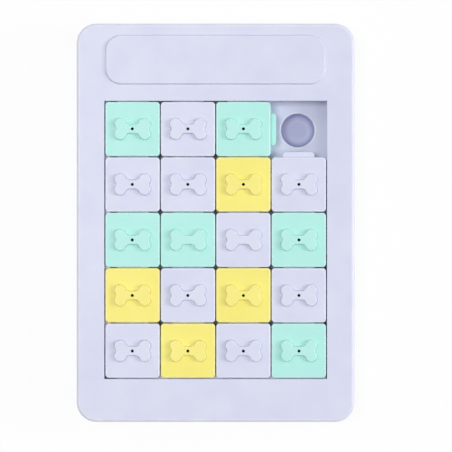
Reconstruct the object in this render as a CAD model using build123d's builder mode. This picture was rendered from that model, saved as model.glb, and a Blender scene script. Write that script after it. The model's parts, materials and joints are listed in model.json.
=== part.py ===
"""Sliding-tile treat board for dogs and cats.

A moulded base tray is the floor, with one treat cup under every cell.  A moulded top frame is
screwed to it from below and keeps nineteen square tiles in a grid of twenty cells.  Each tile has
a tongue on its right and head sides and a groove on its left and foot sides, so neighbours hold
one another down while they slide over the cups.

Millimetres.  X runs to the right, Y from the foot of the board to its head, Z up.  The origin is
on the table under the middle of the board.
"""

import os

from build123d import *

# The grid of cells
columns = 4
rows = 5
open_cell = (0, 3)  # row from the head, column from the left
tile_pitch = 41.8
tile_gap = 0.75  # between tiles, and between a tile and the frame

# The board's outline
side_margin = 21.0
head_margin = 58.5
foot_margin = 32.6
board_corner = 15.0
rim_round = 2.4

# Walls of the two shells
shell_wall = 2.4
plate_thick = 2.4
floor_thick = 2.2
lip_wall = 2.0  # round the opening of the frame
field_wall = 1.8  # round the field of tiles, behind the lip
field_wall_gap = 0.2  # between that wall and the floor below it
parting_chamfer = 0.5  # shadow line where the shells meet

# Heights
foot_drop = 1.2  # feet below the skirt
cup_lift = 0.8  # cups above the lower edge of the skirt
tile_height = 15.0

# Treat cups
cup_radius = 12.7
cup_depth = 9.0
cup_base_radius = 11.4
cup_wall = 1.8
cup_floor = 1.8
cup_mouth_bevel = 0.8
cup_base_bevel = 1.6

# Stiffening ribs under the floor
rib_thick = 1.6
rib_depth = 5.0

# Tongues, grooves and rails
tongue_reach = 4.4
tongue_width = 24.5
tongue_thick = 2.4
tongue_corner = 2.8
tongue_end_gap = 0.5
tongue_side_gap = 1.0  # above and below a tongue in its groove
rail_break = 6.0
rail_setback = 8.8

# Tiles
tile_corner = 2.2
tile_edge = 0.6
tile_skin = 3.2  # also the depth of the lip over a groove
tile_wall = 2.2

# Bone-shaped knobs
bone_length = 27.9
bone_width = 16.6
bone_waist = 6.9
bone_lobe = 4.4
bone_waist_blend = 2.0
bone_notch_blend = 1.5
bone_height = 2.4
bone_edge = 0.9
scent_hole = 1.1  # radius
scent_vent = 0.25  # radius of the vent at the bottom of the scent hole
scent_vent_skin = 1.2
unpierced_tiles = [(2, 1), (2, 2)]  # tiles moulded without the scent hole

# Raised plaque at the head
plaque_length = 38.0
plaque_to_opening = 12.0
plaque_corner = 9.5
plaque_height = 1.6
plaque_round = 1.2

# Screws and their posts
screw_shank = 1.45
screw_head = 2.8
screw_head_height = 2.0
screw_bite = 9.0  # length inside the frame's post
screw_gap = 0.05
head_gap = 0.3
post_wall = 2.2
post_lift = 1.0  # base posts above the lower edge of the skirt
post_seat = 1.0  # depth of the recess that locates a frame post in the base
post_end_gap = 0.1
post_side_gap = 0.15
head_depth = 3.0  # screw heads up inside the base posts

# Feet
foot_radius = 7.5
foot_socket = 1.2  # depth of the socket in the base
foot_gap = 0.15
foot_edge = 0.6
foot_inset = 13.0
foot_wall = 1.8

# Derived sizes
tile_side = tile_pitch - tile_gap
opening_width = columns * tile_pitch + tile_gap
opening_length = rows * tile_pitch + tile_gap
board_width = opening_width + 2 * side_margin
board_length = opening_length + head_margin + foot_margin
opening_y = (foot_margin - head_margin) / 2
opening_head = opening_y + opening_length / 2
opening_foot = opening_y - opening_length / 2
opening_left = -opening_width / 2

skirt_z = foot_drop
cup_under_z = skirt_z + cup_lift
cup_floor_z = cup_under_z + cup_floor
floor_z = cup_floor_z + cup_depth
floor_under_z = floor_z - floor_thick
rim_z = floor_z + tile_height
plate_under_z = rim_z - plate_thick

groove_depth = tongue_reach + tongue_end_gap
groove_height = tongue_thick + 2 * tongue_side_gap
groove_top_z = rim_z - tile_skin
groove_low_z = groove_top_z - groove_height
tongue_low_z = groove_low_z + tongue_side_gap

field_width = opening_width + 2 * groove_depth
field_length = opening_length + 2 * groove_depth

base_post_radius = screw_head + head_gap + post_wall
frame_post_radius = screw_shank + post_wall
frame_post_z = floor_z - post_seat + post_end_gap
side_post_x = (field_width / 2 + field_wall + board_width / 2 - shell_wall) / 2
head_post_y = opening_head + plaque_to_opening + plaque_length / 2
foot_post_y = (opening_foot - groove_depth - field_wall - board_length / 2 + shell_wall) / 2
screw_places = [
    (side * side_post_x, opening_y + step * tile_pitch) for side in (-1, 1) for step in (-1.5, 1.5)
]
screw_places += [(side * tile_pitch, y) for side in (-1, 1) for y in (head_post_y, foot_post_y)]
head_seat_z = skirt_z + post_lift + head_depth

foot_places = [
    (x * (board_width / 2 - foot_inset), y * (board_length / 2 - foot_inset))
    for x in (-1, 1)
    for y in (-1, 1)
]
foot_top_z = skirt_z + foot_socket

os.makedirs("parts", exist_ok=True)


def cell_centre(row, column):
    """Where a cell's middle is, counting rows from the head and columns from the left."""
    x = (column - (columns - 1) / 2) * tile_pitch
    y = opening_y + ((rows - 1) / 2 - row) * tile_pitch
    return x, y


cell_places = [cell_centre(row, column) for row in range(rows) for column in range(columns)]


def finish(piece, name):
    """Label a finished piece and write it to its own file."""
    piece.label = name
    export_step(piece, f"parts/{name}.step")


# The hollow of one treat cup, narrowing downwards, with a bevelled mouth and foot
with BuildPart() as cup_hollow:
    with BuildSketch(Plane.XZ):
        with BuildLine():
            Polyline(
                (0, cup_floor_z),
                (cup_base_radius - cup_base_bevel, cup_floor_z),
                (cup_base_radius, cup_floor_z + cup_base_bevel),
                (cup_radius, floor_z - cup_mouth_bevel),
                (cup_radius + cup_mouth_bevel, floor_z),
                (0, floor_z),
                close=True,
            )
        make_face()
    revolve(axis=Axis.Z)


# The base tray: floor, skirt, cups, ribs, screw posts and foot sockets in one moulding
with BuildPart() as base_tray:
    with BuildSketch(Plane.XY.offset(skirt_z)):
        RectangleRounded(board_width, board_length, board_corner)
    extrude(amount=floor_z - skirt_z)
    chamfer(base_tray.faces().sort_by(Axis.Z)[-1].edges(), parting_chamfer)
    with BuildSketch(Plane.XY.offset(skirt_z)):
        RectangleRounded(
            board_width - 2 * shell_wall, board_length - 2 * shell_wall, board_corner - shell_wall
        )
    extrude(amount=floor_under_z - skirt_z, mode=Mode.SUBTRACT)

    # Ribs along the edges of the cells
    with BuildSketch(Plane.XY.offset(floor_under_z)):
        with Locations((0, opening_y)):
            with GridLocations(tile_pitch, tile_pitch, columns - 1, 1):
                Rectangle(rib_thick, opening_length)
            with GridLocations(tile_pitch, tile_pitch, 1, rows - 1):
                Rectangle(opening_width, rib_thick)
    extrude(amount=-rib_depth)

    # Cups, screw posts and foot sockets hanging under the floor
    with BuildSketch(Plane.XY.offset(cup_under_z)):
        with Locations(*cell_places):
            Circle(cup_radius + cup_wall)
    extrude(amount=floor_under_z - cup_under_z)
    with BuildSketch(Plane.XY.offset(skirt_z + post_lift)):
        with Locations(*screw_places):
            Circle(base_post_radius)
    extrude(amount=floor_under_z - skirt_z - post_lift)
    with BuildSketch(Plane.XY.offset(skirt_z)):
        with Locations(*foot_places):
            Circle(foot_radius + foot_gap + foot_wall)
    extrude(amount=floor_under_z - skirt_z)

    # Cup hollows
    with Locations(*cell_places):
        add(cup_hollow.part, mode=Mode.SUBTRACT)

    # Screw holes with deep seats for the heads and a recess for the frame's post, and the foot sockets
    with BuildSketch(Plane.XY.offset(skirt_z + post_lift)):
        with Locations(*screw_places):
            Circle(screw_head + head_gap)
    extrude(amount=head_depth, mode=Mode.SUBTRACT)
    with BuildSketch(Plane.XY.offset(head_seat_z)):
        with Locations(*screw_places):
            Circle(screw_shank + screw_gap)
    extrude(amount=floor_z - head_seat_z, mode=Mode.SUBTRACT)
    with BuildSketch(Plane.XY.offset(floor_z)):
        with Locations(*screw_places):
            Circle(frame_post_radius + post_side_gap)
    extrude(amount=-post_seat, mode=Mode.SUBTRACT)
    with BuildSketch(Plane.XY.offset(skirt_z)):
        with Locations(*foot_places):
            Circle(foot_radius + foot_gap)
    extrude(amount=foot_socket, mode=Mode.SUBTRACT)
finish(base_tray.part, "base_tray")


# The top frame: a shell open below, with the lip, field wall, rails, plaque and screw posts
with BuildPart() as top_frame:
    with BuildSketch(Plane.XY.offset(floor_z)):
        RectangleRounded(board_width, board_length, board_corner)
    extrude(amount=tile_height)
    fillet(top_frame.faces().sort_by(Axis.Z)[-1].edges(), rim_round)
    chamfer(top_frame.faces().sort_by(Axis.Z)[0].edges(), parting_chamfer)
    with BuildSketch(Plane.XY.offset(floor_z)):
        RectangleRounded(
            board_width - 2 * shell_wall, board_length - 2 * shell_wall, board_corner - shell_wall
        )
    extrude(amount=plate_under_z - floor_z, mode=Mode.SUBTRACT)

    # Lip round the opening, deeper on the left and at the foot where it carries the rails
    with BuildSketch(Plane.XY.offset(groove_top_z)):
        with Locations((0, opening_y)):
            Rectangle(opening_width + 2 * lip_wall, opening_length + 2 * lip_wall)
    extrude(amount=plate_under_z - groove_top_z)
    with BuildSketch(Plane.XY.offset(tongue_low_z)):
        with Locations((opening_left - lip_wall, opening_foot - lip_wall)):
            Rectangle(lip_wall, opening_length + lip_wall, align=Align.MIN)
            Rectangle(opening_width + lip_wall, lip_wall, align=Align.MIN)
    extrude(amount=groove_top_z - tongue_low_z)
    with BuildSketch(Plane.XY.offset(groove_top_z)):
        with Locations((0, opening_y)):
            Rectangle(opening_width, opening_length)
    extrude(amount=tile_height, mode=Mode.SUBTRACT)

    # The wall behind the lip, which leaves room for the tongues
    with BuildSketch(Plane.XY.offset(plate_under_z)):
        with Locations((0, opening_y)):
            Rectangle(field_width + 2 * field_wall, field_length + 2 * field_wall)
            Rectangle(field_width, field_length, mode=Mode.SUBTRACT)
    extrude(amount=floor_z + field_wall_gap - plate_under_z)

    # Rails in the grooves of the first column and of the last row
    with BuildSketch(Plane.XY.offset(tongue_low_z)):
        with Locations((opening_left, opening_foot + rail_setback)):
            Rectangle(tongue_reach, opening_length - rail_setback, align=Align.MIN)
        with Locations((opening_left + rail_setback, opening_foot)):
            Rectangle(opening_width - rail_setback, tongue_reach, align=Align.MIN)
        with Locations((opening_left + tongue_reach / 2, opening_y)):
            with GridLocations(tile_pitch, tile_pitch, 1, rows):
                Rectangle(tongue_reach, rail_break, mode=Mode.SUBTRACT)
    extrude(amount=tongue_thick)

    # Raised bare plaque
    with BuildSketch(Plane.XY.offset(rim_z)):
        with Locations((0, head_post_y)):
            RectangleRounded(opening_width, plaque_length, plaque_corner)
    extrude(amount=plaque_height)
    fillet(top_frame.faces().sort_by(Axis.Z)[-1].edges(), plaque_round)

    # Screw posts, which reach into their recesses in the base
    with BuildSketch(Plane.XY.offset(frame_post_z)):
        with Locations(*screw_places):
            Circle(frame_post_radius)
    extrude(amount=plate_under_z - frame_post_z)
    with BuildSketch(Plane.XY.offset(frame_post_z)):
        with Locations(*screw_places):
            Circle(screw_shank + screw_gap)
    extrude(amount=screw_bite + screw_gap, mode=Mode.SUBTRACT)
finish(top_frame.part, "top_frame")


# The screws that hold the two shells together
with BuildPart() as frame_screws:
    with BuildSketch(Plane.XY.offset(head_seat_z)):
        with Locations(*screw_places):
            Circle(screw_head)
    extrude(amount=-screw_head_height)
    with BuildSketch(Plane.XY.offset(head_seat_z)):
        with Locations(*screw_places):
            Circle(screw_shank)
    extrude(amount=frame_post_z + screw_bite - head_seat_z)
finish(frame_screws.part, "frame_screws")


def make_foot(x, y, name):
    """A rubber disc pressed into a socket of the base, standing proud of the skirt."""
    with BuildPart() as foot:
        with BuildSketch(Plane((x, y, 0))):
            Circle(foot_radius)
        extrude(amount=foot_top_z)
        chamfer(foot.faces().sort_by(Axis.Z)[0].edges(), foot_edge)
    finish(foot.part, name)


for x, y in foot_places:
    make_foot(x, y, f"foot_{'head' if y > 0 else 'tail'}_{'right' if x > 0 else 'left'}")


def make_tile(row, column):
    """One tile with its bone-shaped knob, two tongues and two grooves, hollow from below."""
    x, y = cell_centre(row, column)
    with BuildPart() as tile:
        # Body
        with BuildSketch(Plane((x, y, floor_z))):
            RectangleRounded(tile_side, tile_side, tile_corner)
        extrude(amount=tile_height)
        chamfer(tile.faces().sort_by(Axis.Z)[-1].edges(), tile_edge)

        # Grooves along the left and foot sides
        with BuildSketch(Plane((x - tile_side / 2, y - tile_side / 2, groove_low_z))):
            Rectangle(groove_depth, tile_side, align=Align.MIN)
            Rectangle(tile_side, groove_depth, align=Align.MIN)
        extrude(amount=groove_height, mode=Mode.SUBTRACT)

        # Tongues in the middle of the right and head sides
        tongue_length = tongue_reach + tile_wall
        tongue_offset = tile_side / 2 - tile_wall + tongue_length / 2
        with BuildSketch(Plane((x, y, tongue_low_z))):
            with Locations((tongue_offset, 0)):
                right_tongue = Rectangle(tongue_length, tongue_width)
            with Locations((0, tongue_offset)):
                head_tongue = Rectangle(tongue_width, tongue_length)
            fillet(right_tongue.vertices().group_by(Axis.X)[-1], tongue_corner)
            fillet(head_tongue.vertices().group_by(Axis.Y)[-1], tongue_corner)
        extrude(amount=tongue_thick)

        # Bone-shaped knob
        with BuildSketch(Plane((x, y, floor_z + tile_height))) as bone:
            lobe_x = bone_length / 2 - bone_lobe
            lobe_y = bone_width / 2 - bone_lobe
            Rectangle(2 * lobe_x, bone_waist)
            with GridLocations(2 * lobe_x, 2 * lobe_y, 2, 2):
                Circle(bone_lobe)
            corners = bone.vertices().group_by(Axis.X)
            fillet(corners[0] + corners[-1], bone_notch_blend)
            fillet(bone.vertices().filter_by(lambda v: abs(v.X) < lobe_x), bone_waist_blend)
        extrude(amount=bone_height)
        chamfer(tile.faces().sort_by(Axis.Z)[-1].edges(), bone_edge)

        # Hollow underside, and the scent hole into it
        pocket = tile_side - groove_depth - 2 * tile_wall
        with BuildSketch(Plane((x + groove_depth / 2, y + groove_depth / 2, floor_z))):
            Rectangle(pocket, pocket)
        extrude(amount=tile_height - tile_skin, mode=Mode.SUBTRACT)
        if (row, column) not in unpierced_tiles:
            with Locations((x, y, floor_z + tile_height + bone_height)):
                CounterBoreHole(scent_vent, scent_hole, bone_height + tile_skin - scent_vent_skin)
    finish(tile.part, f"tile_r{row + 1}c{column + 1}")


for row in range(rows):
    for column in range(columns):
        if (row, column) != open_cell:
            make_tile(row, column)
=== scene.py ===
# %% [markdown]
# # A sliding-tile treat board
#
# This toy for dogs and cats is a tray of round treat cups under nineteen sliding tiles.  All that shows
# is satin moulded plastic, so the look comes from soft edges, thin shadow gaps and a quiet skin.
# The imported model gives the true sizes.  Each piece is modelled again over its solid with rounder edges,
# and rides on the same body, so that the tiles still slide.

# %% Load the fixed frame
import json
from math import atan, atan2, cos, pi, radians, sin, sqrt

import bmesh
import bpy
from mathutils import Matrix, Vector


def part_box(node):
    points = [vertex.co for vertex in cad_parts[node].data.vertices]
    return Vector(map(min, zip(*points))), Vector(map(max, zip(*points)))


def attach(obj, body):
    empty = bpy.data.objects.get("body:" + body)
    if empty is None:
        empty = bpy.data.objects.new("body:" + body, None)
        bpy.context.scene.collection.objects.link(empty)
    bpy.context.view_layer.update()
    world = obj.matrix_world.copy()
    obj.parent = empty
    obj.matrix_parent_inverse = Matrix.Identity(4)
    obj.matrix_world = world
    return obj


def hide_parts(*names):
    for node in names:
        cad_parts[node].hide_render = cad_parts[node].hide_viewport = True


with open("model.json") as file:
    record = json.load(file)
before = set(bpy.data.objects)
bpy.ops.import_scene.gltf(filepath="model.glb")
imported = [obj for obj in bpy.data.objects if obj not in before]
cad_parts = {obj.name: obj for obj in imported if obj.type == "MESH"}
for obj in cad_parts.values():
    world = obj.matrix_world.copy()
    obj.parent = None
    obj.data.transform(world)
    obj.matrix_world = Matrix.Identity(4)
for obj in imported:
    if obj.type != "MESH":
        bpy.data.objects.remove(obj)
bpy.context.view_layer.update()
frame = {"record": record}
record = frame["record"]
slot_of = {part["node"]: part["material_slot"] for part in record["subparts"]}
body_of = {node: body for body, nodes in record["behaviour"]["bodies"].items() for node in nodes}

# %% [markdown]
# ## Sizes
# A tile's box runs from its left and foot edges to the tips of its two tongues, so the boxes of two
# neighbours give the pitch, the tile and the gap.  Sizes that no box shows are named where they are
# first needed, in millimetres times `mm`.

# %% Measure the board and its grid
mm = 0.001
rows = 5
columns = 4
tongue_reach = 4.4 * mm
bone_height = 2.4 * mm

tile_low, tile_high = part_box("tile_r1c1")
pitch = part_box("tile_r1c2")[0].x - tile_low.x
tile_side = tile_high.x - tile_low.x - tongue_reach
tile_gap = pitch - tile_side
floor_z = tile_low.z
rim_z = tile_high.z - bone_height

frame_low, frame_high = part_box("top_frame")
board_width = frame_high.x - frame_low.x
board_length = frame_high.y - frame_low.y
opening_width = columns * pitch + tile_gap
opening_length = rows * pitch + tile_gap
opening_head = tile_low.y + tile_side + tile_gap
opening_middle = Vector((0, opening_head - opening_length / 2))


def cell_centre(row, column):
    """The middle of a cell, counting rows from the head and columns from the left, from 0."""
    x = (column - (columns - 1) / 2) * pitch
    return Vector((x, opening_middle.y + ((rows - 1) / 2 - row) * pitch))


cells = [(row, column) for row in range(rows) for column in range(columns)]
print(f"pitch {pitch / mm:.2f} mm, tile {tile_side / mm:.2f} mm, gap {tile_gap / mm:.2f} mm")

# %% [markdown]
# ## Shaping by pressing
# A moulding can be thought of as a flat outline that is pressed up or down along a profile: out of the
# table, round an edge, in over the top.  Blender's inset does one such step, and a list of steps makes a
# whole profile with every edge rounded as the mould would round it.  Paws rub such edges first and light
# catches them, and a hollow sees mostly itself, so a press can also note on its vertices how much wear and
# painted highlight and how much painted shade they get, in attributes that the finish reads later.

# %% Helpers that press a face along a profile
def press(bm, face, steps, wear_and_highlight=0.0, deep=0.0):
    """Insets a face by each step in turn, so far inwards and so far up.

    Each new ring of vertices notes its wear and painted highlight, and its painted shade.
    """
    for name in ("wear_and_highlight", "deep"):
        if name not in bm.verts.layers.float:
            bm.verts.layers.float.new(name)
    wear_and_highlight_layer = bm.verts.layers.float["wear_and_highlight"]
    deep_layer = bm.verts.layers.float["deep"]
    for inwards, up in steps:
        bmesh.ops.inset_individual(bm, faces=[face], thickness=inwards, depth=up, use_even_offset=True)
        for vert in face.verts:
            vert[wear_and_highlight_layer] = wear_and_highlight
            vert[deep_layer] = deep


def wall_to_flat(run, rise, count=5):
    """Steps along a quarter turn that starts upright and ends flat, so far inwards and so far up."""
    turns = [pi / 2 * k / count for k in range(count + 1)]
    return [(run * (cos(a) - cos(b)), rise * (sin(b) - sin(a))) for a, b in zip(turns, turns[1:])]


def flat_to_wall(run, rise, count=5):
    """Steps along a quarter turn that starts flat and ends upright."""
    turns = [pi / 2 * k / count for k in range(count + 1)]
    return [(run * (sin(b) - sin(a)), rise * (cos(a) - cos(b))) for a, b in zip(turns, turns[1:])]


print("a 1 mm edge in", len(wall_to_flat(mm, mm)), "steps")

# %% Helpers that draw outlines and fill between them
def rounded_face(bm, centre, width, length, corner, z, segments=8):
    """A flat rectangle with round corners, facing up."""
    before = set(bm.faces)
    verts = bmesh.ops.create_grid(bm, x_segments=1, y_segments=1, size=0.5)["verts"]
    bmesh.ops.scale(bm, vec=(width, length, 1), verts=verts)
    bmesh.ops.translate(bm, vec=(centre[0], centre[1], z), verts=verts)
    bmesh.ops.bevel(
        bm, geom=verts, offset=corner, offset_type="OFFSET", affect="VERTICES", segments=segments,
        profile=0.5, material=-1,
    )
    return next(face for face in bm.faces if face not in before)


def square_face(bm, centre, width, length, z):
    """A flat rectangle with sharp corners, facing up."""
    verts = bmesh.ops.create_grid(bm, x_segments=1, y_segments=1, size=0.5)["verts"]
    bmesh.ops.scale(bm, vec=(width, length, 1), verts=verts)
    bmesh.ops.translate(bm, vec=(centre[0], centre[1], z), verts=verts)
    return verts[0].link_faces[0]


def round_face(bm, centre, radius, z, segments=48):
    """A flat disc, facing up."""
    place = Matrix.Translation((centre[0], centre[1], z))
    disc = bmesh.ops.create_circle(bm, cap_ends=True, radius=radius, segments=segments, matrix=place)
    return disc["verts"][0].link_faces[0]


def outline(face):
    """The edges round a face, in order."""
    return list(face.edges)


def opened(bm, face):
    """Takes a face away and hands back its outline."""
    edges = outline(face)
    bm.faces.remove(face)
    return edges


def fill_between(bm, *outlines):
    """Fills one flat region between an outer outline and the holes in it."""
    edges = [edge for edges in outlines for edge in edges]
    bmesh.ops.triangle_fill(bm, use_beauty=True, edges=edges)


def soft_plate(bm, centre, width, length, low, high, corner, edge):
    """A closed flat plate with round corners and soft edges above and below."""
    under = rounded_face(bm, centre, width, length, corner, low, segments=5)
    raised = bmesh.ops.extrude_face_region(bm, geom=[under], use_keep_orig=True)["geom"]
    verts = [part for part in raised if isinstance(part, bmesh.types.BMVert)]
    over = next(part for part in raised if isinstance(part, bmesh.types.BMFace))
    bmesh.ops.translate(bm, vec=(0, 0, high - low), verts=verts)
    bmesh.ops.bevel(
        bm, geom=outline(under) + outline(over), offset=edge, offset_type="OFFSET", affect="EDGES",
        segments=3, profile=0.5, material=-1,
    )


print("outline helpers ready")

# %% [markdown]
# ## The finishes
# Board and tiles are injection-moulded in three pastel colours.  Such plastic is never one flat tone: the
# pigment clouds slightly, the mould leaves a very fine spark texture, and handling leaves duller and
# shinier patches.  That skin is the same for all three colours, so it is one node group with a tint, and
# each material gives it its own values.

# %% Build the moulded skin as a node group
def add_node(tree, kind, **values):
    """Adds a node and sets its properties, and its inputs by name."""
    node = tree.nodes.new(kind)
    for name, value in values.items():
        if name in node.inputs:
            node.inputs[name].default_value = value
        else:
            setattr(node, name, value)
    return node


def add_socket(group, name, kind, direction, default=None):
    """Adds a named socket to a group's interface."""
    socket = group.interface.new_socket(name=name, in_out=direction, socket_type=kind)
    if default is not None:
        socket.default_value = default


skin = bpy.data.node_groups.new("moulded_skin", "ShaderNodeTree")
add_socket(skin, "Tint", "NodeSocketColor", "INPUT", (0.8, 0.8, 0.8, 1))
add_socket(skin, "Shade", "NodeSocketColor", "INPUT", (0.7, 0.7, 0.7, 1))
# The next tint is a lighter colour for worn edges and their painted highlight.
add_socket(skin, "Wear And Highlight Tint", "NodeSocketColor", "INPUT", (0.9, 0.9, 0.9, 1))
# The next tint is a darker colour that paints shade into hollows.
add_socket(skin, "Painted Shade Tint", "NodeSocketColor", "INPUT", (0.5, 0.5, 0.5, 1))
add_socket(skin, "Roughness", "NodeSocketFloat", "INPUT", 0.45)
add_socket(skin, "Grain Scale", "NodeSocketFloat", "INPUT", 1500.0)
add_socket(skin, "Color", "NodeSocketColor", "OUTPUT")
add_socket(skin, "Roughness", "NodeSocketFloat", "OUTPUT")
add_socket(skin, "Height", "NodeSocketFloat", "OUTPUT")
print("skin sockets:", [item.name for item in skin.interface.items_tree])

# %% Cloud the pigment
skin_in = skin.nodes.new("NodeGroupInput")
skin_out = skin.nodes.new("NodeGroupOutput")
place = skin.nodes.new("ShaderNodeTexCoord")
cloud = add_node(skin, "ShaderNodeTexNoise", Scale=38.0, Detail=3.0, Roughness=0.55)
cloud_range = add_node(skin, "ShaderNodeMapRange")
cloud_range.inputs["From Min"].default_value = 0.3
cloud_range.inputs["From Max"].default_value = 0.75
pigment = add_node(skin, "ShaderNodeMix", data_type="RGBA")
skin.links.new(place.outputs["Object"], cloud.inputs["Vector"])
skin.links.new(cloud.outputs["Fac"], cloud_range.inputs["Value"])
skin.links.new(cloud_range.outputs["Result"], pigment.inputs["Factor"])
skin.links.new(skin_in.outputs["Tint"], pigment.inputs["A"])
skin.links.new(skin_in.outputs["Shade"], pigment.inputs["B"])
print("pigment clouds about", round(1000 / cloud.inputs["Scale"].default_value), "mm across")

# %% Lighten the edges for wear and as painted highlight, and darken the hollows with painted shade
patchy = add_node(skin, "ShaderNodeTexNoise", Scale=85.0, Detail=5.0, Roughness=0.6, Distortion=0.4)
# Wear and painted highlight: rounded edges are lightened towards the lighter tint, where paws rub them and
# light catches them.
edges = add_node(skin, "ShaderNodeAttribute", attribute_name="wear_and_highlight")
wear_and_highlight_amount = add_node(skin, "ShaderNodeMath", operation="MULTIPLY")
worn_and_highlighted = add_node(skin, "ShaderNodeMix", data_type="RGBA")
skin.links.new(place.outputs["Object"], patchy.inputs["Vector"])
skin.links.new(edges.outputs["Fac"], wear_and_highlight_amount.inputs[0])
skin.links.new(patchy.outputs["Fac"], wear_and_highlight_amount.inputs[1])
skin.links.new(wear_and_highlight_amount.outputs["Value"], worn_and_highlighted.inputs["Factor"])
skin.links.new(pigment.outputs["Result"], worn_and_highlighted.inputs["A"])
skin.links.new(skin_in.outputs["Wear And Highlight Tint"], worn_and_highlighted.inputs["B"])
# Painted shade: hollows are darkened towards the darker tint, where little light would reach them.
painted_shade_mask = add_node(skin, "ShaderNodeAttribute", attribute_name="deep")
deepened = add_node(skin, "ShaderNodeMix", data_type="RGBA")
skin.links.new(painted_shade_mask.outputs["Fac"], deepened.inputs["Factor"])
skin.links.new(worn_and_highlighted.outputs["Result"], deepened.inputs["A"])
skin.links.new(skin_in.outputs["Painted Shade Tint"], deepened.inputs["B"])
skin.links.new(deepened.outputs["Result"], skin_out.inputs["Color"])
print("the skin reads the attributes", edges.attribute_name, "and", painted_shade_mask.attribute_name)

# %% Vary the gloss where paws and hands have been, and add the spark texture of the mould
gloss_spread = 0.07
rubbed_gloss = -0.15  # a rubbed edge is less rough
handled = skin.nodes.new("ShaderNodeMapRange")
handled.inputs["To Min"].default_value = -gloss_spread
handled.inputs["To Max"].default_value = gloss_spread
polish = add_node(skin, "ShaderNodeMath", operation="MULTIPLY_ADD")
polish.inputs[1].default_value = rubbed_gloss
gloss = add_node(skin, "ShaderNodeMath", operation="ADD")
spark = add_node(skin, "ShaderNodeTexNoise", Detail=2.0, Roughness=0.5)
skin.links.new(patchy.outputs["Fac"], handled.inputs["Value"])
skin.links.new(wear_and_highlight_amount.outputs["Value"], polish.inputs[0])
skin.links.new(handled.outputs["Result"], polish.inputs[2])
skin.links.new(polish.outputs["Value"], gloss.inputs[0])
skin.links.new(skin_in.outputs["Roughness"], gloss.inputs[1])
skin.links.new(gloss.outputs["Value"], skin_out.inputs["Roughness"])
skin.links.new(place.outputs["Object"], spark.inputs["Vector"])
skin.links.new(skin_in.outputs["Grain Scale"], spark.inputs["Scale"])
skin.links.new(spark.outputs["Fac"], skin_out.inputs["Height"])
print("skin nodes:", len(skin.nodes))

# %% [markdown]
# Colours are easiest to read off as they look on screen, from 0 to 255, and Blender wants linear light.
# A short helper turns one into the other.

# %% Mix the plastics from the skin
grain_height = 0.05 * mm
satin = (0.42, 1500, 0.3)  # roughness, scale of the grain and its strength
rubbery = (0.78, 900, 0.6)
matt = (0.8, 900, 0.4)


def linear(red, green, blue):
    """A screen colour from 0 to 255 as Blender's linear colour."""
    parts = [value / 255 for value in (red, green, blue)]
    return (*[p / 12.92 if p <= 0.04045 else ((p + 0.055) / 1.055) ** 2.4 for p in parts], 1)


def new_material(name):
    """An empty material with its Principled shader."""
    material = bpy.data.materials.new(name)
    material.use_nodes = True
    return material, material.node_tree, material.node_tree.nodes["Principled BSDF"]


def skinned(name, tint, shade, wear_and_highlight_tint, deep_tint, roughness, grain_scale, grain):
    """A material whose colour, gloss and grain come from the moulded skin."""
    material, tree, shader = new_material(name)
    coat = add_node(tree, "ShaderNodeGroup", node_tree=skin)
    coat.inputs["Tint"].default_value = linear(*tint)
    coat.inputs["Shade"].default_value = linear(*shade)
    coat.inputs["Wear And Highlight Tint"].default_value = linear(*wear_and_highlight_tint)
    coat.inputs["Painted Shade Tint"].default_value = linear(*deep_tint)
    coat.inputs["Roughness"].default_value = roughness
    coat.inputs["Grain Scale"].default_value = grain_scale
    bump = add_node(tree, "ShaderNodeBump", Strength=grain, Distance=grain_height)
    tree.links.new(coat.outputs["Color"], shader.inputs["Base Color"])
    tree.links.new(coat.outputs["Roughness"], shader.inputs["Roughness"])
    tree.links.new(coat.outputs["Height"], bump.inputs["Height"])
    tree.links.new(bump.outputs["Normal"], shader.inputs["Normal"])
    return material


# Per plastic: tint, cloudy shade, a lighter edge tint for wear and painted highlight, a darker tint of
# painted shade for hollows.
finishes = {
    "lavender_plastic": skinned(
        "lavender_plastic", (221, 224, 243), (214, 216, 240), (240, 242, 252), (164, 166, 206), *satin
    ),
    "mint_plastic": skinned(
        "mint_plastic", (183, 241, 233), (177, 237, 229), (214, 250, 246), (150, 214, 206), *satin
    ),
    "yellow_plastic": skinned(
        "yellow_plastic", (251, 240, 126), (247, 234, 118), (254, 248, 184), (226, 206, 104), *satin
    ),
    "foot_rubber": skinned(
        "foot_rubber", (150, 152, 160), (136, 138, 147), (166, 168, 175), (110, 112, 120), *rubbery
    ),
}
print("plastics:", list(finishes))

# %% [markdown]
# The screws are zinc-plated steel.  Plating is a bright metal with a fine cloudy grain.  The wall and
# bottom of a scent hole take a nearly black, rough material, a painted shadow that looks the same at any
# angle.

# %% Make the zinc plate and the painted shadow of the scent holes
plate, plate_tree, plate_shader = new_material("screw_steel")
plate_shader.inputs["Metallic"].default_value = 1.0
plate_place = plate_tree.nodes.new("ShaderNodeTexCoord")
plate_grain = add_node(plate_tree, "ShaderNodeTexNoise", Scale=900.0, Detail=4.0)
plate_tone = add_node(plate_tree, "ShaderNodeMix", data_type="RGBA")
plate_tone.inputs["A"].default_value = linear(196, 198, 204)
plate_tone.inputs["B"].default_value = linear(168, 170, 178)
plate_gloss = plate_tree.nodes.new("ShaderNodeMapRange")
plate_gloss.inputs["To Min"].default_value = 0.25
plate_gloss.inputs["To Max"].default_value = 0.45
plate_tree.links.new(plate_place.outputs["Object"], plate_grain.inputs["Vector"])
plate_tree.links.new(plate_grain.outputs["Fac"], plate_tone.inputs["Factor"])
plate_tree.links.new(plate_grain.outputs["Fac"], plate_gloss.inputs["Value"])
plate_tree.links.new(plate_tone.outputs["Result"], plate_shader.inputs["Base Color"])
plate_tree.links.new(plate_gloss.outputs["Result"], plate_shader.inputs["Roughness"])
finishes["screw_steel"] = plate

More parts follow.
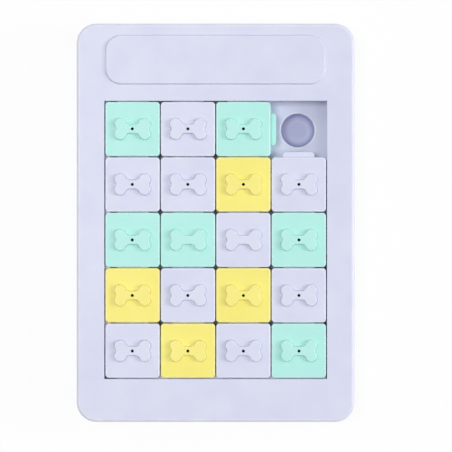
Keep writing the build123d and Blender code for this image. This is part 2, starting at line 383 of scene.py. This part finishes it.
painted_hole_shadow = skinned("scent_hole_painted_shadow", (34, 33, 40), (22, 21, 27), (44, 43, 50), (16, 15, 20), *matt)
print("finishes:", [*finishes, painted_hole_shadow.name])

# %% [markdown]
# ## From bmesh to a piece
# Every piece ends the same way: normals are turned outwards, edges above an angle stay sharp, the rest is
# smooth, and weighted normals keep the large flats flat.  Then the piece rides on its body and stands for
# its solid.

# %% Finish a piece
sharp_angle = radians(40)


def finish_piece(bm, node, *extra_finishes):
    """Makes the shape an object that stands for a node, with the finish of the node's slot."""
    bmesh.ops.recalc_face_normals(bm, faces=bm.faces)
    mesh = bpy.data.meshes.new(node + "_shape")
    bm.to_mesh(mesh)
    bm.free()
    mesh.shade_smooth()
    mesh.set_sharp_from_angle(angle=sharp_angle)
    for finish in (finishes[slot_of[node]], *extra_finishes):
        mesh.materials.append(finish)
    piece = bpy.data.objects.new(node + "_shape", mesh)
    bpy.context.scene.collection.objects.link(piece)
    weighted = piece.modifiers.new("flat_tops", "WEIGHTED_NORMAL")
    weighted.keep_sharp = True
    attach(piece, body_of[node])
    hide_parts(node)
    return piece


print("pieces go to", bpy.context.scene.collection.name)

# %% [markdown]
# ## The bone on a tile
# The knob is a bone seen from above: four round lobes, a slim waist, and small blends between them.  It
# could be traced by hand, but its outline is only arcs, so one vertex is spun round three centres to draw
# a quarter of it, and two mirrors make the rest.

# %% Draw the bone's outline
bone_length = 28.2 * mm
bone_width = 17.2 * mm
bone_waist = 7.6 * mm
bone_lobe = 4.85 * mm
waist_blend = 2.8 * mm
notch_blend = 1.5 * mm
bone_foot = 0.4 * mm  # hollow round the foot of the knob
bone_edge = 1.0 * mm  # radius of its soft upper edge
merge_gap = 0.01 * mm  # under which the mirrored halves are joined


def bone_face(bm):
    """The outline of the knob's foot at the origin, as one face."""
    lobe = Vector((bone_length / 2 - bone_lobe, bone_width / 2 - bone_lobe, 0))
    notch = Vector((lobe.x + sqrt((bone_lobe + notch_blend) ** 2 - lobe.y**2), 0, 0))
    waist_y = bone_waist / 2 + waist_blend
    waist_run = sqrt((bone_lobe + waist_blend) ** 2 - (waist_y - lobe.y) ** 2)
    waist = Vector((lobe.x - waist_run, waist_y, 0))
    to_notch = atan2(notch.y - lobe.y, notch.x - lobe.x)
    to_waist = atan2(waist.y - lobe.y, waist.x - lobe.x)
    tip = bmesh.ops.create_vert(bm, co=(notch.x - notch_blend, 0, 0))["vert"][0]
    for centre, sweep, steps in (
        (notch, to_notch, 5), (lobe, to_waist - to_notch, 18), (waist, pi / 2 - to_waist, 6),
    ):
        arc = bmesh.ops.spin(bm, geom=[tip], cent=centre, axis=(0, 0, 1), angle=sweep, steps=steps)
        tip = arc["geom_last"][0]
    middle = bmesh.ops.extrude_vert_indiv(bm, verts=[tip])["verts"]
    bmesh.ops.translate(bm, vec=(-tip.co.x, 0, 0), verts=middle)
    for axis in ("X", "Y"):
        drawn = bm.verts[:] + bm.edges[:]
        bmesh.ops.mirror(bm, geom=drawn, matrix=Matrix(), merge_dist=merge_gap, axis=axis)
    face = bmesh.ops.contextual_create(bm, geom=bm.edges[:])["faces"][0]
    if face.normal.z < 0:
        face.normal_flip()
    return face


print(f"bone {bone_length / mm:.1f} x {bone_width / mm:.1f} mm")

# %% [markdown]
# ## The tiles
# A tile is a hollow block.  Its left and foot sides carry a groove and its right and head sides a short
# tongue, which keep neighbours together.  One outline is pressed up from the tray floor: at the groove it
# is squeezed towards the opposite corner and let out again above it, which cuts both grooves at once.

# %% Shape one tile
tile_corner = 2.6 * mm
tile_round = 0.9 * mm
# Rounded edges are lightened for wear and as painted highlight.
tile_wear_and_highlight = 1.0
edge_fade = 0.5 * mm  # over which an edge's wear and painted highlight fade into the flat
tile_skin = 3.2 * mm
tile_wall = 2.2 * mm
hollow_round = 1.0 * mm
groove_depth = 4.9 * mm
groove_height = 4.4 * mm
groove_top = rim_z - tile_skin
groove_low = groove_top - groove_height
groove_relief = 0.05 * mm


def squeeze(bm, face, pivot, factor):
    """Scales a face in its plane towards a point."""
    bmesh.ops.scale(bm, vec=(factor, factor, 1), space=Matrix.Translation(-pivot), verts=face.verts)


def tile_body(bm, centre, knob):
    """The block of a tile: hollow below, two grooves, and a top that joins the knob's outline."""
    half = tile_side / 2
    block = rounded_face(bm, centre, tile_side, tile_side, tile_corner, floor_z)
    hollow_side = tile_side - groove_depth - 2 * tile_wall
    middle = centre + Vector((groove_depth / 2, groove_depth / 2))
    hollow = rounded_face(bm, middle, hollow_side, hollow_side, hollow_round, floor_z, segments=3)
    fill_between(bm, outline(block), outline(hollow))
    press(bm, hollow, [(0, groove_top - floor_z - hollow_round)])
    press(bm, hollow, wall_to_flat(hollow_round, hollow_round, count=3))
    press(bm, block, [(0, groove_low - floor_z), (groove_relief, 0)])
    near = half - groove_relief
    core = (2 * half - groove_relief - groove_depth) / (2 * near)
    squeeze(bm, block, Vector((centre.x + near, centre.y + near, 0)), core)
    press(bm, block, [(0, groove_height), (-groove_relief, 0)])
    full = tile_side / (tile_side + groove_relief - groove_depth)
    squeeze(bm, block, Vector((centre.x + half, centre.y + half, 0)), full)
    press(bm, block, [(0, rim_z - tile_round - groove_top)])
    press(bm, block, wall_to_flat(tile_round, tile_round), wear_and_highlight=tile_wear_and_highlight)
    press(bm, block, [(edge_fade, 0)])
    fill_between(bm, opened(bm, block), outline(knob))


print(f"groove {groove_height / mm:.1f} mm high, {groove_depth / mm:.1f} mm deep")

# %% Add the tongues and the scent hole
tongue_width = 24.5 * mm
tongue_thick = 2.4 * mm
tongue_corner = 2.8 * mm
tongue_edge = 0.7 * mm
tongue_root = 1.8 * mm
tongue_low = groove_low + (groove_height - tongue_thick) / 2
scent_radius = 1.1 * mm
scent_lip = 0.25 * mm
scent_depth = 4.4 * mm
unpierced = [(2, 1), (2, 2)]  # row and column of the tiles without a hole


def tile_tongues(bm, centre):
    """Short tongues with round corners, rooted in the right and head walls."""
    length = tongue_reach + tongue_root
    offset = tile_side / 2 + tongue_reach - length / 2
    high = tongue_low + tongue_thick
    right = centre + Vector((offset, 0))
    head = centre + Vector((0, offset))
    soft_plate(bm, right, length, tongue_width, tongue_low, high, tongue_corner, tongue_edge)
    soft_plate(bm, head, tongue_width, length, tongue_low, high, tongue_corner, tongue_edge)


def scent_hole(bm, centre, knob):
    """The small hole in the middle of a knob; its wall and bottom take the second finish, a painted shadow.
    """
    top = rim_z + bone_height
    mouth = round_face(bm, centre, scent_radius + scent_lip, top, segments=24)
    fill_between(bm, opened(bm, knob), outline(mouth))
    press(bm, mouth, flat_to_wall(scent_lip, -scent_lip, count=3))
    before = set(bm.faces)
    press(bm, mouth, [(0, scent_lip - scent_depth)])
    # Painted shadow: the hole's wall and bottom get the nearly black finish.
    for face in [mouth, *[f for f in bm.faces if f not in before]]:
        face.material_index = 1


print("tongue", round(tongue_width / mm, 1), "mm wide")

# %% Make the nineteen tiles
# The hollow at the knob's foot is darkened with painted shade.
knob_foot_deep = 0.45
# The knob's rounded edge and the rim of its top are lightened for wear and as painted highlight.
knob_edge_wear_and_highlight = 0.75
knob_top_wear_and_highlight = 0.2


def tile_name(row, column):
    """The node of the tile that starts in a cell."""
    return f"tile_r{row + 1}c{column + 1}"


def make_tile(row, column):
    """One tile in its cell, in the colour of its slot."""
    centre = cell_centre(row, column)
    bm = bmesh.new()
    knob = bone_face(bm)
    bmesh.ops.translate(bm, vec=(centre.x, centre.y, rim_z), verts=bm.verts)
    tile_body(bm, centre, knob)
    press(bm, knob, flat_to_wall(bone_foot, bone_foot, count=3), deep=knob_foot_deep)
    press(bm, knob, [(0, bone_height - bone_foot - bone_edge)])
    *rounding, last = wall_to_flat(bone_edge, bone_edge, count=7)
    press(bm, knob, rounding, wear_and_highlight=knob_edge_wear_and_highlight)
    press(bm, knob, [last], wear_and_highlight=knob_top_wear_and_highlight)
    if (row, column) not in unpierced:
        scent_hole(bm, centre, knob)
    tile_tongues(bm, centre)
    return finish_piece(bm, tile_name(row, column), painted_hole_shadow)


tiles = [make_tile(*cell) for cell in cells if tile_name(*cell) in slot_of]
print(len(tiles), "tiles of", len(tiles[0].data.polygons), "faces")

# %% [markdown]
# ## The top frame
# The frame is a thin moulded shell: a rounded rim outside, a sharp-cornered opening for the tiles, and a
# raised bare plaque at the head.  Its outer wall starts with the small bevel of the parting line, and the
# top flat is filled between the rim, the opening and the plaque.

# %% Press the outer shell and its top
board_corner = 15.0 * mm
rim_round = 2.4 * mm
# The rim's and the plaque's rounded edges are lightened for wear and as painted highlight.
rim_wear_and_highlight = 0.7
parting_bevel = 0.5 * mm
shell_wall = 2.4 * mm
plate_thick = 2.4 * mm
plaque_inset = 1.2 * mm
plaque_width = opening_width - plaque_inset
plaque_length = 38.0 * mm
plaque_to_opening = 12.0 * mm
plaque_corner = 12.0 * mm
plaque_foot = 0.3 * mm
plaque_lean = 0.7 * mm
plaque_round = 0.5 * mm
opening_round = 0.3 * mm

plaque_height = frame_high.z - rim_z
plaque_middle = Vector((0, opening_head + plaque_to_opening + plaque_length / 2))
board_middle = (0, 0)

shell = bmesh.new()
top = rounded_face(
    shell, board_middle, board_width - 2 * parting_bevel, board_length - 2 * parting_bevel,
    board_corner - parting_bevel, floor_z, segments=16,
)
inside = rounded_face(
    shell, board_middle, board_width - 2 * shell_wall, board_length - 2 * shell_wall,
    board_corner - shell_wall, floor_z, segments=16,
)
fill_between(shell, outline(top), outline(inside))
press(shell, top, [(-parting_bevel, parting_bevel), (0, rim_z - rim_round - floor_z - parting_bevel)])
press(shell, top, wall_to_flat(rim_round, rim_round, count=8), wear_and_highlight=rim_wear_and_highlight)
press(shell, top, [(edge_fade, 0)])

plaque = rounded_face(shell, plaque_middle, plaque_width, plaque_length, plaque_corner, rim_z, segments=14)
mouth = square_face(
    shell, opening_middle, opening_width + 2 * opening_round, opening_length + 2 * opening_round, rim_z
)
fill_between(shell, opened(shell, top), outline(plaque), outline(mouth))
press(shell, plaque, flat_to_wall(plaque_foot, plaque_foot, count=3))
press(shell, plaque, [(plaque_lean, plaque_height - plaque_foot - plaque_round)])
press(shell, plaque, wall_to_flat(plaque_round, plaque_round, count=6), wear_and_highlight=rim_wear_and_highlight)
press(shell, plaque, [(edge_fade, 0)])
print(f"plaque {plaque_width / mm:.0f} x {plaque_length / mm:.0f} mm, bare")

# %% [markdown]
# Below the opening a lip goes down to the grooves, and a wall further out stands on the tray and leaves
# room for the tongues.  Inside, the shell is hollow, and eight posts take the screws from below.

# %% Press the lip, the field wall and the hollow
lip_wall = 2.0 * mm
field_wall = 1.8 * mm
field_gap = 0.2 * mm
post_radius = 3.65 * mm
post_bore = 1.5 * mm
screw_bite = 9.05 * mm

field_width = opening_width + 2 * groove_depth
field_length = opening_length + 2 * groove_depth
plate_under = rim_z - plate_thick
field_low = floor_z + field_gap

press(shell, mouth, flat_to_wall(opening_round, -opening_round, count=4))
press(shell, mouth, [(0, groove_top - rim_z + opening_round)])
press(shell, mouth, [(-lip_wall, 0), (0, plate_under - groove_top)])
press(shell, mouth, [(lip_wall - groove_depth, 0), (0, field_low - plate_under), (-field_wall, 0)])
press(shell, mouth, [(0, plate_under - field_low)])
press(shell, inside, [(0, plate_under - floor_z)])
print(f"field {field_width / mm:.1f} x {field_length / mm:.1f} mm")

# %% Add the screw posts and close the shell
side_post = (field_width / 2 + field_wall + board_width / 2 - shell_wall) / 2
field_foot = opening_head - opening_length - groove_depth - field_wall
foot_post_y = (field_foot - board_length / 2 + shell_wall) / 2
post_step = 1.5 * pitch
screw_places = [
    Vector((side * side_post, opening_middle.y + along * post_step))
    for side in (-1, 1)
    for along in (-1, 1)
]
screw_places += [Vector((side * pitch, y)) for side in (-1, 1) for y in (plaque_middle.y, foot_post_y)]
post_edge = 0.3 * mm
posts = [round_face(shell, spot, post_radius, plate_under, segments=32) for spot in screw_places]
fill_between(shell, opened(shell, inside), opened(shell, mouth), *[outline(post) for post in posts])
for post in posts:
    press(shell, post, [(0, frame_low.z - plate_under + post_edge)])
    press(shell, post, wall_to_flat(post_edge, -post_edge, count=2))
    press(shell, post, [(post_radius - post_edge - post_bore, 0), (0, screw_bite)])
print("posts:", len(posts))

# %% [markdown]
# On the left and at the foot the frame carries rails of its own, which the first column's and the last
# row's grooves run over.  They are soft flat plates rooted in a deeper stretch of the lip.

# %% Add the deeper lip and the rails
rail_setback = 8.8 * mm
rail_break = 6.0 * mm
rail_high = tongue_low + tongue_thick
rail_root = 1.0 * mm
rail_corner = 0.8 * mm
lip_corner = 0.6 * mm
lip_edge = 0.2 * mm

opening_left = -opening_width / 2
opening_foot = opening_head - opening_length
deep_left = (opening_left - lip_wall / 2, opening_middle.y - lip_wall / 2)
deep_foot = (-lip_wall / 2, opening_foot - lip_wall / 2)
root_high = groove_top + rail_root
for spot, width, length in (
    (deep_left, lip_wall, opening_length + lip_wall),
    (deep_foot, opening_width + lip_wall, lip_wall),
):
    soft_plate(shell, spot, width, length, tongue_low, root_high, lip_corner, lip_edge)

rail_width = tongue_reach + rail_root
rail_breaks = [cell_centre(row, 0).y for row in reversed(range(rows))]
stops = [opening_foot + rail_setback, *rail_breaks, opening_head]
for low, high in zip(stops, stops[1:]):
    start = low if low == stops[0] else low + rail_break / 2
    end = high if high == stops[-1] else high - rail_break / 2
    spot = (opening_left + (tongue_reach - rail_root) / 2, (start + end) / 2)
    soft_plate(shell, spot, rail_width, end - start, tongue_low, rail_high, rail_corner, tongue_edge)
foot_rail = opening_width - rail_setback
spot = (opening_left + rail_setback + foot_rail / 2, opening_foot + (tongue_reach - rail_root) / 2)
soft_plate(shell, spot, foot_rail, rail_width, tongue_low, rail_high, rail_corner, tongue_edge)
top_frame = finish_piece(shell, "top_frame")
print("top frame:", len(top_frame.data.polygons), "faces")

# %% [markdown]
# ## The base tray
# The tray is the floor under the tiles: a skirted slab with a round treat cup under every cell.  A cup's
# mouth is softly rounded and its foot curves into the bottom, as food-safe mouldings are, so it is one
# disc pressed down along a profile.

# %% Press the skirt, the floor and the treat cups
tray_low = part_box("base_tray")[0]
cup_radius = 12.8 * mm
cup_base = 11.4 * mm
cup_depth = 9.0 * mm
cup_mouth = 1.3 * mm
cup_foot = 4.0 * mm
cup_fade = 0.8 * mm  # over which the painted shade of the foot goes over into that of the bottom
# Painted highlight: the rounded mouth of a cup is lightened as a lit lip would be.
cup_mouth_painted_highlight = 1.6
# Painted shade: the cup's wall, foot and bottom are darkened by these amounts.
cup_wall_deep = 0.9
cup_foot_deep = 0.5
cup_bottom_deep = 0.6
post_recess = 3.8 * mm
recess_depth = 1.0 * mm

tray = bmesh.new()
deck = rounded_face(tray, board_middle, board_width, board_length, board_corner, tray_low.z, segments=16)
below = rounded_face(
    tray, board_middle, board_width - 2 * shell_wall, board_length - 2 * shell_wall,
    board_corner - shell_wall, tray_low.z, segments=16,
)
fill_between(tray, outline(deck), outline(below))
press(tray, deck, [(0, floor_z - parting_bevel - tray_low.z), (parting_bevel, parting_bevel)])

mouth_radius = cup_radius + cup_mouth
cups = [round_face(tray, cell_centre(*cell), mouth_radius, floor_z, segments=64) for cell in cells]
recesses = [round_face(tray, spot, post_recess, floor_z, segments=32) for spot in screw_places]
fill_between(tray, opened(tray, deck), *[outline(face) for face in cups + recesses])
cup_wall_down = cup_depth - cup_mouth - cup_foot
for cup in cups:
    press(tray, cup, flat_to_wall(cup_mouth, -cup_mouth), wear_and_highlight=cup_mouth_painted_highlight)
    press(tray, cup, [(0, -cup_mouth)], deep=cup_wall_deep)
    press(tray, cup, [(cup_radius - cup_base, cup_mouth - cup_wall_down)], deep=cup_wall_deep)
    press(tray, cup, wall_to_flat(cup_foot, -cup_foot, count=8), deep=cup_foot_deep)
    press(tray, cup, [(cup_fade, 0)], deep=cup_bottom_deep)
print(len(cups), "cups,", round(2 * cup_radius / mm, 1), "mm across")

# %% [markdown]
# Underneath, the tray is open: cup bottoms, ribs along the cells, bored posts for the screws and round
# sockets for the feet hang from its floor.  The mould leaves its own marks there too: a dimple in the
# bottom of each cup where the plastic ran in, and shallow discs where pins pushed the part out.

# %% Build the underside
floor_thick = 2.2 * mm
cup_lift = 0.8 * mm  # cup bottoms above the lower edge of the skirt
post_lift = 1.0 * mm
floor_under = floor_z - floor_thick
cup_under = tray_low.z + cup_lift
post_under = tray_low.z + post_lift
cup_wall = 1.8 * mm
bottom_edge = 0.8 * mm
gate_radius = 2.5 * mm
mark_radius = 2.6 * mm
mark_depth = 0.15 * mm
base_post = 5.3 * mm
head_bore = 3.1 * mm
head_depth = 3.0 * mm
socket_radius = 7.65 * mm
socket_wall = 1.8 * mm
socket_depth = 1.2 * mm

feet = [node for node in slot_of if node.startswith("foot_")]
foot_places = [(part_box(node)[0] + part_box(node)[1]) / 2 for node in feet]

press(tray, below, [(0, floor_under - tray_low.z)])
bottom_radius = cup_radius + cup_wall
socket_outside = socket_radius + socket_wall
bottoms = [round_face(tray, cell_centre(*cell), bottom_radius, floor_under) for cell in cells]
bosses = [round_face(tray, spot, base_post, floor_under, segments=32) for spot in screw_places]
sockets = [round_face(tray, spot, socket_outside, floor_under) for spot in foot_places]
mark_places = [Vector((step * post_step, y)) for step in (-1, 0, 1) for y in (plaque_middle.y, foot_post_y)]
mark_places += [Vector((side * side_post, opening_middle.y)) for side in (-1, 1)]
marks = [round_face(tray, spot, mark_radius, floor_under, segments=24) for spot in mark_places]
hanging = [*bottoms, *bosses, *sockets, *marks]
fill_between(tray, opened(tray, below), *[outline(face) for face in hanging])
for bottom in bottoms:
    press(tray, bottom, [(0, cup_under + bottom_edge - floor_under)])
    press(tray, bottom, wall_to_flat(bottom_edge, -bottom_edge, count=4))
    press(tray, bottom, [(bottom_radius - bottom_edge - gate_radius, 0), (mark_depth, mark_depth)])
for mark in marks:
    press(tray, mark, [(mark_depth, mark_depth)])
for boss in bosses:
    press(tray, boss, [(0, post_under - floor_under), (base_post - head_bore, 0), (0, head_depth)])
for socket in sockets:
    press(tray, socket, [(0, tray_low.z - floor_under), (socket_wall, 0), (0, socket_depth)])
print("forms under the floor:", len(hanging))

# %% Bore the screw holes and add the ribs
rib_thick = 1.6 * mm
rib_depth = 5.0 * mm
rib_low = floor_under - rib_depth
rib_step = 0.1 * mm  # the cross ribs are a little shorter, so that no two faces share a plane
rib_bite = 0.6 * mm  # how far the ribs reach into the floor
rib_root = floor_under + rib_bite
rib_corner = 0.5 * mm
rib_edge = 0.3 * mm

for recess in recesses:
    press(tray, recess, [(0, -recess_depth), (post_recess - post_bore, 0)])
for column in range(columns - 1):
    spot = ((column - (columns - 2) / 2) * pitch, opening_middle.y)
    soft_plate(tray, spot, rib_thick, opening_length, rib_low, rib_root, rib_corner, rib_edge)
for row in range(rows - 1):
    spot = (0, opening_middle.y + (row - (rows - 2) / 2) * pitch)
    soft_plate(tray, spot, opening_width, rib_thick, rib_low + rib_step, rib_root, rib_corner, rib_edge)
base_tray = finish_piece(tray, "base_tray")
print("base tray:", len(base_tray.data.polygons), "faces")

# %% [markdown]
# ## Screws and feet
# Eight small cross-head screws hold frame and tray together and show only from below.  The cross is a
# three by three grid with its corner squares taken out, pressed into the head.  The feet are soft rubber
# discs with a shallow dish and a rounded edge.

# %% Make the screws
screw_low, screw_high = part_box("frame_screws")
screw_head = 2.8 * mm
head_height = 2.0 * mm
shank = 1.45 * mm
head_round = 0.8 * mm
cross_arm = 1.5 * mm
cross_depth = 1.2 * mm
cross_draft = 0.15 * mm
tip_length = 1.2 * mm
tip_taper = 0.9 * mm
shank_run = screw_high.z - screw_low.z - head_height - tip_length


def cross_face(bm, centre, z):
    """The outline of a cross recess, as one face."""
    grid = bmesh.ops.create_grid(bm, x_segments=3, y_segments=3, size=cross_arm)
    bmesh.ops.translate(bm, vec=(centre.x, centre.y, z), verts=grid["verts"])
    squares = list(dict.fromkeys(face for vert in grid["verts"] for face in vert.link_faces))
    offsets = {face: face.calc_center_median().xy - centre for face in squares}
    away = [face for face in squares if min(abs(offsets[face].x), abs(offsets[face].y)) > cross_arm / 3]
    kept = [face for face in squares if face not in away]
    bmesh.ops.delete(bm, geom=away, context="FACES")
    return bmesh.ops.dissolve_faces(bm, faces=kept)["region"][0]


screws = bmesh.new()
for spot in screw_places:
    body = round_face(screws, spot, shank, screw_low.z + head_height, segments=24)
    seat = round_face(screws, spot, screw_head, screw_low.z + head_height, segments=32)
    fill_between(screws, outline(seat), outline(body))
    press(screws, body, [(0, shank_run), (tip_taper, tip_length)])
    press(screws, seat, [(0, head_round - head_height), *wall_to_flat(head_round, -head_round, count=4)])
    cross = cross_face(screws, spot, screw_low.z)
    fill_between(screws, opened(screws, seat), outline(cross))
    press(screws, cross, [(cross_draft, cross_depth)])
finish_piece(screws, "frame_screws")
print("screws:", len(screw_places))

# %% Make the rubber feet
foot_edge = 0.6 * mm
foot_bevel = 0.1 * mm
foot_rim = 2.4 * mm
foot_dish = 0.25 * mm


def make_foot(node):
    """A rubber disc with rounded edges and a shallow dish underneath."""
    low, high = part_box(node)
    centre = (low + high) / 2
    radius = (high.x - low.x) / 2
    bm = bmesh.new()
    pad = round_face(bm, centre, radius - foot_edge, low.z, segments=48)
    dish = round_face(bm, centre, radius - foot_rim, low.z, segments=48)
    fill_between(bm, outline(pad), outline(dish))
    press(bm, pad, flat_to_wall(-foot_edge, foot_edge, count=4))
    press(bm, pad, [(0, high.z - low.z - foot_edge - foot_bevel), (foot_bevel, foot_bevel)])
    press(bm, dish, [(foot_edge, foot_dish)])
    return finish_piece(bm, node)


for node in feet:
    make_foot(node)
print("feet:", feet)

# %% [markdown]
# ## Light, floor and camera
# The photograph is a studio shot from straight above on white.  A low soft lamp on the right draws the
# bright edges, two high ones, left and right, reach the floor of the open cell and its cup, a weak one
# at the head and left softens the shadows, and a pale world fills the rest.  Each lamp is given by its
# compass angle, its height angle and its share of the light on a level surface.  All shares together make
# about one, so that colours come out as mixed.
# The floor turns white only where the camera, a reflection or glass sees it, and still takes the shadow.

# %% Set the light
scene = bpy.context.scene
scene.view_settings.view_transform = "Standard"
lamp_distance = 4.0
lamp_size = 1.4
sky_share = 0.28


def lamp(name, compass, height, share):
    """A square area lamp that points at the middle of the board and gives a share of its light."""
    light = bpy.data.lights.new(name, "AREA")
    light.shape = "SQUARE"
    light.size = lamp_size
    light.energy = share * (pi * lamp_distance) ** 2 / sin(radians(height))
    reach = lamp_distance * cos(radians(height))
    place = (
        reach * cos(radians(compass)), reach * sin(radians(compass)), lamp_distance * sin(radians(height)),
    )
    holder = bpy.data.objects.new(name, light)
    holder.location = place
    holder.rotation_euler = (-Vector(place)).to_track_quat("-Z", "Y").to_euler()
    scene.collection.objects.link(holder)
    return holder


lamps = [
    lamp("key_right", 3, 28, 0.22),
    lamp("high_right", -20, 60, 0.09),
    lamp("fill_head_left", 142, 31, 0.05),
    lamp("high_left", 166, 70, 0.36),
]

world = bpy.data.worlds.new("studio")
scene.world = world
world.use_nodes = True
sky = world.node_tree.nodes["Background"]
sky.inputs["Color"].default_value = (1, 1, 1, 1)
sky.inputs["Strength"].default_value = sky_share
print("lamps:", [holder.name for holder in lamps])

# %% Lay the floor
floor_side = 6.0
white_share = 0.92
floor_bm = bmesh.new()
square_face(floor_bm, board_middle, floor_side, floor_side, 0)
floor_mesh = bpy.data.meshes.new("floor")
floor_bm.to_mesh(floor_mesh)
floor_bm.free()
floor = bpy.data.objects.new("floor", floor_mesh)
scene.collection.objects.link(floor)

paper, paper_tree, paper_shader = new_material("white_paper")
paper_shader.inputs["Base Color"].default_value = (0.9, 0.9, 0.9, 1)
paper_shader.inputs["Roughness"].default_value = 0.9
rays = paper_tree.nodes.new("ShaderNodeLightPath")
camera_or_gloss = add_node(paper_tree, "ShaderNodeMath", operation="MAXIMUM")
seen = add_node(paper_tree, "ShaderNodeMath", operation="MAXIMUM")
part_white = add_node(paper_tree, "ShaderNodeMath", operation="MULTIPLY")
part_white.inputs[1].default_value = white_share
white = add_node(paper_tree, "ShaderNodeEmission", Strength=1.0)
white.inputs["Color"].default_value = (1, 1, 1, 1)
blend = paper_tree.nodes.new("ShaderNodeMixShader")
sheet = paper_tree.nodes["Material Output"]
paper_tree.links.new(rays.outputs["Is Camera Ray"], camera_or_gloss.inputs[0])
paper_tree.links.new(rays.outputs["Is Glossy Ray"], camera_or_gloss.inputs[1])
paper_tree.links.new(camera_or_gloss.outputs["Value"], seen.inputs[0])
paper_tree.links.new(rays.outputs["Is Transmission Ray"], seen.inputs[1])
paper_tree.links.new(seen.outputs["Value"], part_white.inputs[0])
paper_tree.links.new(part_white.outputs["Value"], blend.inputs["Fac"])
paper_tree.links.new(paper_shader.outputs["BSDF"], blend.inputs[1])
paper_tree.links.new(white.outputs["Emission"], blend.inputs[2])
paper_tree.links.new(blend.outputs["Shader"], sheet.inputs["Surface"])
floor_mesh.materials.append(paper)
print("floor laid at z = 0")

# %% [markdown]
# The board's outline in the photograph gives the camera: its width sets the scale, and its middle says
# how far the lens axis stands off the middle of the board.

# %% Set the camera
photo_side = 452
photo_left, photo_right = 76.7, 354.6
photo_top, photo_bottom = 23.5, 422.0
camera_height = 1.1

outline_z = rim_z - rim_round
per_pixel = board_width / (photo_right - photo_left)
off_x = (photo_side / 2 - (photo_left + photo_right) / 2) * per_pixel
off_y = ((photo_top + photo_bottom) / 2 - photo_side / 2) * per_pixel
lens = bpy.data.cameras.new("camera")
lens.sensor_fit = "HORIZONTAL"
lens.angle = 2 * atan(photo_side * per_pixel / 2 / camera_height)
camera = bpy.data.objects.new("camera", lens)
camera.location = (off_x, off_y, outline_z + camera_height)
scene.collection.objects.link(camera)
scene.camera = camera
print(f"camera {camera_height:.2f} m above the rim, {per_pixel / mm:.3f} mm per pixel")
